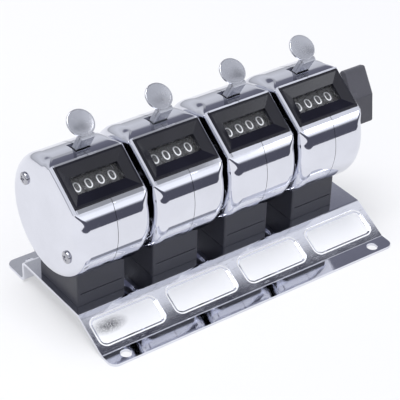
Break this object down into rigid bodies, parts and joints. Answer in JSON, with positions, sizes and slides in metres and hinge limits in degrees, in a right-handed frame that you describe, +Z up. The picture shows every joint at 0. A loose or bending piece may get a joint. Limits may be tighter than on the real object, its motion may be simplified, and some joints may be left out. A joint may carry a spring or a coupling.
{
  "type": "bench tally counter bank",
  "caption": "Row of round-cased tally counters with thumb levers on a bent sheet base, reset together by one winged knob at the end.",
  "frame": {"origin": "centre of the four mounting holes, on the table plane that the base rests on", "axes": "+X along the row towards the reset knob, +Y from the front edge to the back, +Z up"},
  "size_m": [0.1408, 0.0708, 0.0764],
  "materials": {
    "chrome": "polished chrome plate on sheet steel",
    "steel": "plain zinc-grey steel",
    "brass": "turned brass",
    "black_plastic": "semi-gloss black moulding",
    "block_black": "satin black moulding",
    "knob_black": "satin black moulding",
    "wheel_black": "matt black moulding with white printed figures",
    "clear_lens": "clear, polished"
  },
  "bodies": {
    "stand": {"base_plate": "chrome", "stand_screws": "steel", "case_screws": "chrome", "stand_block_1": "block_black", "case_left_1": "chrome", "case_right_1": "chrome", "bezel_1": "black_plastic", "lens_1": "clear_lens", "frame_1": "steel", "lever_spring_1": "steel", "stand_block_2": "block_black", "case_left_2": "chrome", "case_right_2": "chrome", "bezel_2": "black_plastic", "lens_2": "clear_lens", "frame_2": "steel", "lever_spring_2": "steel", "stand_block_3": "block_black", "case_left_3": "chrome", "case_right_3": "chrome", "bezel_3": "black_plastic", "lens_3": "clear_lens", "frame_3": "steel", "lever_spring_3": "steel", "stand_block_4": "block_black", "case_left_4": "chrome", "case_right_4": "chrome", "bezel_4": "black_plastic", "lens_4": "clear_lens", "frame_4": "steel", "lever_spring_4": "steel"},
    "reset": {"reset_shaft": "steel", "reset_knob": "knob_black", "knob_set_screw": "steel", "shaft_clips": "steel"},
    "lever_1": {"lever_1": "chrome"},
    "units_1": {"wheel_units_1": "wheel_black"},
    "tens_1": {"wheel_tens_1": "wheel_black"},
    "hundreds_1": {"wheel_hundreds_1": "wheel_black"},
    "thousands_1": {"wheel_thousands_1": "wheel_black"},
    "pinions_1": {"pinions_1": "brass"},
    "lever_2": {"lever_2": "chrome"},
    "units_2": {"wheel_units_2": "wheel_black"},
    "tens_2": {"wheel_tens_2": "wheel_black"},
    "hundreds_2": {"wheel_hundreds_2": "wheel_black"},
    "thousands_2": {"wheel_thousands_2": "wheel_black"},
    "pinions_2": {"pinions_2": "brass"},
    "lever_3": {"lever_3": "chrome"},
    "units_3": {"wheel_units_3": "wheel_black"},
    "tens_3": {"wheel_tens_3": "wheel_black"},
    "hundreds_3": {"wheel_hundreds_3": "wheel_black"},
    "thousands_3": {"wheel_thousands_3": "wheel_black"},
    "pinions_3": {"pinions_3": "brass"},
    "lever_4": {"lever_4": "chrome"},
    "units_4": {"wheel_units_4": "wheel_black"},
    "tens_4": {"wheel_tens_4": "wheel_black"},
    "hundreds_4": {"wheel_hundreds_4": "wheel_black"},
    "thousands_4": {"wheel_thousands_4": "wheel_black"},
    "pinions_4": {"pinions_4": "brass"}
  },
  "joints": [
    {"name": "reset_turn", "type": "hinge", "parent": "stand", "child": "reset", "pos_m": [0, -0.00062, 0.04679], "axis": [1, 0, 0], "continuous": true},
    {"name": "lever_1_press", "type": "hinge", "parent": "stand", "child": "lever_1", "pos_m": [-0.0511, -0.01281, 0.04401], "axis": [-1, 0, 0], "range_deg": [0, 9], "stiffness_Nm_per_rad": 0.25, "springref_deg": -8.59},
    {"name": "units_1_turn", "type": "hinge", "parent": "stand", "child": "units_1", "pos_m": [-0.0442, -0.00062, 0.04679], "axis": [1, 0, 0], "continuous": true},
    {"name": "tens_1_turn", "type": "hinge", "parent": "stand", "child": "tens_1", "pos_m": [-0.0488, -0.00062, 0.04679], "axis": [1, 0, 0], "continuous": true},
    {"name": "hundreds_1_turn", "type": "hinge", "parent": "stand", "child": "hundreds_1", "pos_m": [-0.0534, -0.00062, 0.04679], "axis": [1, 0, 0], "continuous": true},
    {"name": "thousands_1_turn", "type": "hinge", "parent": "stand", "child": "thousands_1", "pos_m": [-0.058, -0.00062, 0.04679], "axis": [1, 0, 0], "continuous": true},
    {"name": "pinions_1_turn", "type": "hinge", "parent": "stand", "child": "pinions_1", "pos_m": [-0.0511, 0.01183, 0.04211], "axis": [1, 0, 0], "continuous": true},
    {"name": "lever_2_press", "type": "hinge", "parent": "stand", "child": "lever_2", "pos_m": [-0.0198, -0.01281, 0.04401], "axis": [-1, 0, 0], "range_deg": [0, 9], "stiffness_Nm_per_rad": 0.25, "springref_deg": -8.59},
    {"name": "units_2_turn", "type": "hinge", "parent": "stand", "child": "units_2", "pos_m": [-0.0129, -0.00062, 0.04679], "axis": [1, 0, 0], "continuous": true},
    {"name": "tens_2_turn", "type": "hinge", "parent": "stand", "child": "tens_2", "pos_m": [-0.0175, -0.00062, 0.04679], "axis": [1, 0, 0], "continuous": true},
    {"name": "hundreds_2_turn", "type": "hinge", "parent": "stand", "child": "hundreds_2", "pos_m": [-0.0221, -0.00062, 0.04679], "axis": [1, 0, 0], "continuous": true},
    {"name": "thousands_2_turn", "type": "hinge", "parent": "stand", "child": "thousands_2", "pos_m": [-0.0267, -0.00062, 0.04679], "axis": [1, 0, 0], "continuous": true},
    {"name": "pinions_2_turn", "type": "hinge", "parent": "stand", "child": "pinions_2", "pos_m": [-0.0198, 0.01183, 0.04211], "axis": [1, 0, 0], "continuous": true},
    {"name": "lever_3_press", "type": "hinge", "parent": "stand", "child": "lever_3", "pos_m": [0.0115, -0.01281, 0.04401], "axis": [-1, 0, 0], "range_deg": [0, 9], "stiffness_Nm_per_rad": 0.25, "springref_deg": -8.59},
    {"name": "units_3_turn", "type": "hinge", "parent": "stand", "child": "units_3", "pos_m": [0.0184, -0.00062, 0.04679], "axis": [1, 0, 0], "continuous": true},
    {"name": "tens_3_turn", "type": "hinge", "parent": "stand", "child": "tens_3", "pos_m": [0.0138, -0.00062, 0.04679], "axis": [1, 0, 0], "continuous": true},
    {"name": "hundreds_3_turn", "type": "hinge", "parent": "stand", "child": "hundreds_3", "pos_m": [0.0092, -0.00062, 0.04679], "axis": [1, 0, 0], "continuous": true},
    {"name": "thousands_3_turn", "type": "hinge", "parent": "stand", "child": "thousands_3", "pos_m": [0.0046, -0.00062, 0.04679], "axis": [1, 0, 0], "continuous": true},
    {"name": "pinions_3_turn", "type": "hinge", "parent": "stand", "child": "pinions_3", "pos_m": [0.0115, 0.01183, 0.04211], "axis": [1, 0, 0], "continuous": true},
    {"name": "lever_4_press", "type": "hinge", "parent": "stand", "child": "lever_4", "pos_m": [0.0428, -0.01281, 0.04401], "axis": [-1, 0, 0], "range_deg": [0, 9], "stiffness_Nm_per_rad": 0.25, "springref_deg": -8.59},
    {"name": "units_4_turn", "type": "hinge", "parent": "stand", "child": "units_4", "pos_m": [0.0497, -0.00062, 0.04679], "axis": [1, 0, 0], "continuous": true},
    {"name": "tens_4_turn", "type": "hinge", "parent": "stand", "child": "tens_4", "pos_m": [0.0451, -0.00062, 0.04679], "axis": [1, 0, 0], "continuous": true},
    {"name": "hundreds_4_turn", "type": "hinge", "parent": "stand", "child": "hundreds_4", "pos_m": [0.0405, -0.00062, 0.04679], "axis": [1, 0, 0], "continuous": true},
    {"name": "thousands_4_turn", "type": "hinge", "parent": "stand", "child": "thousands_4", "pos_m": [0.0359, -0.00062, 0.04679], "axis": [1, 0, 0], "continuous": true},
    {"name": "pinions_4_turn", "type": "hinge", "parent": "stand", "child": "pinions_4", "pos_m": [0.0428, 0.01183, 0.04211], "axis": [1, 0, 0], "continuous": true}
  ],
  "couplings": [
    {"joint": "tens_1_turn", "follows": "units_1_turn", "ratio": 0.1},
    {"joint": "hundreds_1_turn", "follows": "units_1_turn", "ratio": 0.01},
    {"joint": "thousands_1_turn", "follows": "units_1_turn", "ratio": 0.001},
    {"joint": "pinions_1_turn", "follows": "units_1_turn", "ratio": -0.25},
    {"joint": "tens_2_turn", "follows": "units_2_turn", "ratio": 0.1},
    {"joint": "hundreds_2_turn", "follows": "units_2_turn", "ratio": 0.01},
    {"joint": "thousands_2_turn", "follows": "units_2_turn", "ratio": 0.001},
    {"joint": "pinions_2_turn", "follows": "units_2_turn", "ratio": -0.25},
    {"joint": "tens_3_turn", "follows": "units_3_turn", "ratio": 0.1},
    {"joint": "hundreds_3_turn", "follows": "units_3_turn", "ratio": 0.01},
    {"joint": "thousands_3_turn", "follows": "units_3_turn", "ratio": 0.001},
    {"joint": "pinions_3_turn", "follows": "units_3_turn", "ratio": -0.25},
    {"joint": "tens_4_turn", "follows": "units_4_turn", "ratio": 0.1},
    {"joint": "hundreds_4_turn", "follows": "units_4_turn", "ratio": 0.01},
    {"joint": "thousands_4_turn", "follows": "units_4_turn", "ratio": 0.001},
    {"joint": "pinions_4_turn", "follows": "units_4_turn", "ratio": -0.25}
  ]
}
